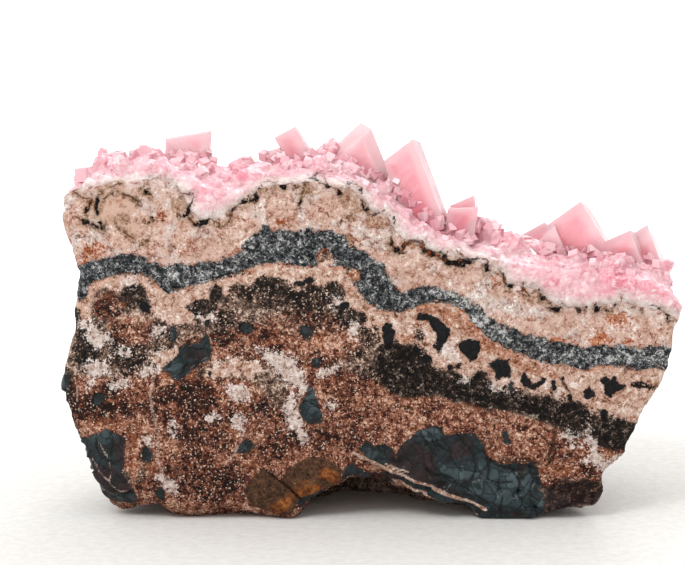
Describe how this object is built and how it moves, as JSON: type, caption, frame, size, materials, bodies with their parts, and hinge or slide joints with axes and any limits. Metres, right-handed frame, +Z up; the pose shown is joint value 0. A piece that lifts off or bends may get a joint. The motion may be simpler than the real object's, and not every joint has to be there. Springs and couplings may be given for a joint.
{
  "type": "rhodochrosite crystal specimen",
  "caption": "Broken block of banded rock with a flat cut face, topped by a crust of pink rhombic crystals with larger crystals standing out of it; rests on its flat underside.",
  "frame": {"origin": "middle of the bounding box's bottom, on the surface the specimen rests on", "axes": "+X to the right along the cut face, +Y from the cut face to the back, +Z up"},
  "size_m": [0.1204, 0.0504, 0.0761],
  "materials": {
    "banded_rock": "matte stone, banded beige, brown and dark grey",
    "druse": "sparkling pale pink crystal crust, nearly opaque",
    "pink_crystal": "glossy pink crystal, cloudy and partly see-through"
  },
  "bodies": {
    "root": {"matrix_rock": "banded_rock", "crystal_crust": "druse", "small_plate_crystal": "pink_crystal", "tabular_crystal": "pink_crystal", "tilted_block_crystals": "pink_crystal", "left_peak_crystal": "pink_crystal", "main_peak_crystals": "pink_crystal", "right_peak_crystals": "pink_crystal", "rear_left_crystal": "pink_crystal", "rear_middle_crystal": "pink_crystal", "rear_right_crystal": "pink_crystal"}
  },
  "joints": []
}
